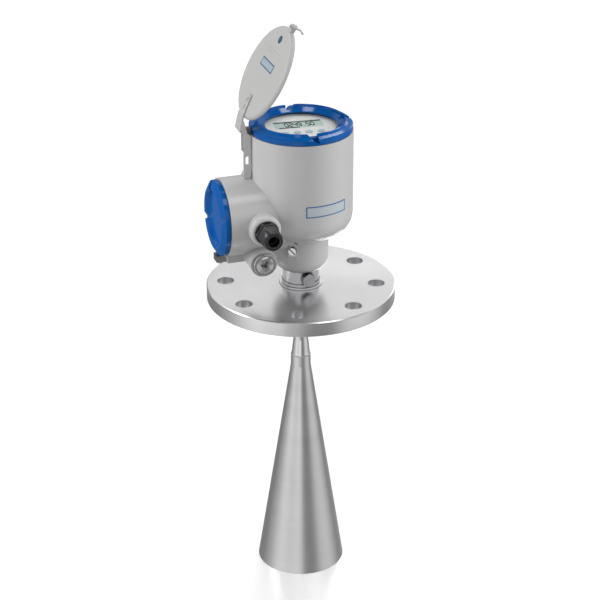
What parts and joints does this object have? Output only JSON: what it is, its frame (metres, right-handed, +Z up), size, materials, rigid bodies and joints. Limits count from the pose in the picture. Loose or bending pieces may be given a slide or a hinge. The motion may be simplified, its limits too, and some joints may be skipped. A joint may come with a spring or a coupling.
{
  "type": "radar level transmitter",
  "caption": "Radar level transmitter: conical horn antenna under a bolted flange, swivelling two-chamber housing with display, cable gland and hinged weather shade.",
  "frame": {"origin": "centre of the bolt circle on the underside of the flange plate", "axes": "+Z up along the antenna's axis towards the display, -X towards the terminal chamber, -Y towards the cable entries"},
  "size_m": [0.2, 0.2, 0.6262],
  "materials": {
    "turned_steel": "turned, bright",
    "bright_steel": "fine brushed",
    "horn_steel": "satin",
    "ptfe": "smooth",
    "seal_rubber": "matt",
    "zinc_bolts": "bright zinc",
    "housing_paint": "semi-gloss light grey",
    "shade_paint": "semi-gloss light grey",
    "earth_metal": "nickel plated",
    "electronics": "moulded",
    "circuit_board": "solder mask",
    "dial_plastic": "printed",
    "lcd": "pale green",
    "key_plastic": "moulded",
    "blue_paint": "semi-gloss blue",
    "window_glass": "clear",
    "dark_metal": "dark grey",
    "terminal_plastic": "moulded",
    "gland_nickel": "dark nickel",
    "gland_black": "satin black",
    "plug_steel": "bright",
    "bracket_steel": "grey",
    "buffer_rubber": "brown"
  },
  "bodies": {
    "process_side": {"flange": "turned_steel", "process_stub": "bright_steel", "process_window": "ptfe", "stub_seal": "seal_rubber", "horn_throat": "bright_steel", "antenna_horn": "horn_steel"},
    "head": {"swivel_sleeve": "bright_steel", "locking_bolt": "zinc_bolts", "housing": "housing_paint", "earth_clamp": "earth_metal", "earth_screw": "earth_metal", "electronics_unit": "electronics", "display_board": "circuit_board", "display_module": "dial_plastic", "lcd_panel": "lcd", "display_seal": "seal_rubber", "terminal_seal": "seal_rubber", "terminal_block": "terminal_plastic", "terminal_screws": "earth_metal", "inner_earth_screw": "earth_metal", "cover_lock": "dark_metal", "cover_lock_screw": "zinc_bolts", "gland_washer": "seal_rubber", "gland_body": "gland_nickel", "gland_seal": "seal_rubber", "plug_washer": "seal_rubber", "blanking_plug": "plug_steel", "shade_bracket": "bracket_steel", "bracket_screws": "zinc_bolts", "hinge_buffer": "buffer_rubber"},
    "display_cover": {"display_cover": "blue_paint", "display_glass": "window_glass", "glass_retainer": "dark_metal"},
    "terminal_cover": {"terminal_cover": "blue_paint"},
    "gland_nut": {"gland_nut": "gland_black"},
    "key_1": {"key_1": "key_plastic"},
    "key_2": {"key_2": "key_plastic"},
    "key_3": {"key_3": "key_plastic"},
    "key_4": {"key_4": "key_plastic"},
    "shade": {"hinge_pin": "zinc_bolts", "shade_leaf": "shade_paint", "shade_rivets": "zinc_bolts", "weather_shade": "shade_paint"},
    "latch": {"shade_latch": "zinc_bolts"}
  },
  "joints": [
    {"name": "head_swivel", "type": "hinge", "parent": "process_side", "child": "head", "pos_m": [0, 0, 0.035], "axis": [0, 0, 1], "range_deg": [-175, 175]},
    {"name": "display_cover_turn", "type": "hinge", "parent": "head", "child": "display_cover", "pos_m": [0, 0, 0.189], "axis": [0, 0, 1], "continuous": true},
    {"name": "terminal_cover_turn", "type": "hinge", "parent": "head", "child": "terminal_cover", "pos_m": [-0.086, 0, 0.1015], "axis": [-1, 0, 0], "continuous": true},
    {"name": "gland_nut_turn", "type": "hinge", "parent": "head", "child": "gland_nut", "pos_m": [-0.053, -0.0645, 0.1015], "axis": [0, -1, 0], "continuous": true},
    {"name": "key_1_press", "type": "slide", "parent": "head", "child": "key_1", "axis": [0, 0, -1], "range_m": [0, 0.0005], "stiffness_N_per_m": 400, "springref_m": -0.0005},
    {"name": "key_2_press", "type": "slide", "parent": "head", "child": "key_2", "axis": [0, 0, -1], "range_m": [0, 0.0005], "stiffness_N_per_m": 400, "springref_m": -0.0005},
    {"name": "key_3_press", "type": "slide", "parent": "head", "child": "key_3", "axis": [0, 0, -1], "range_m": [0, 0.0005], "stiffness_N_per_m": 400, "springref_m": -0.0005},
    {"name": "key_4_press", "type": "slide", "parent": "head", "child": "key_4", "axis": [0, 0, -1], "range_m": [0, 0.0005], "stiffness_N_per_m": 400, "springref_m": -0.0005},
    {"name": "shade_hinge", "type": "hinge", "parent": "head", "child": "shade", "pos_m": [-0.0628, 0, 0.195], "axis": [0, 1, 0], "range_deg": [-38, 61]},
    {"name": "latch_turn", "type": "hinge", "parent": "shade", "child": "latch", "pos_m": [-0.00883, -0.01158, 0.29918], "axis": [-0.8746, 0, 0.4848], "range_deg": [0, 90]}
  ]
}
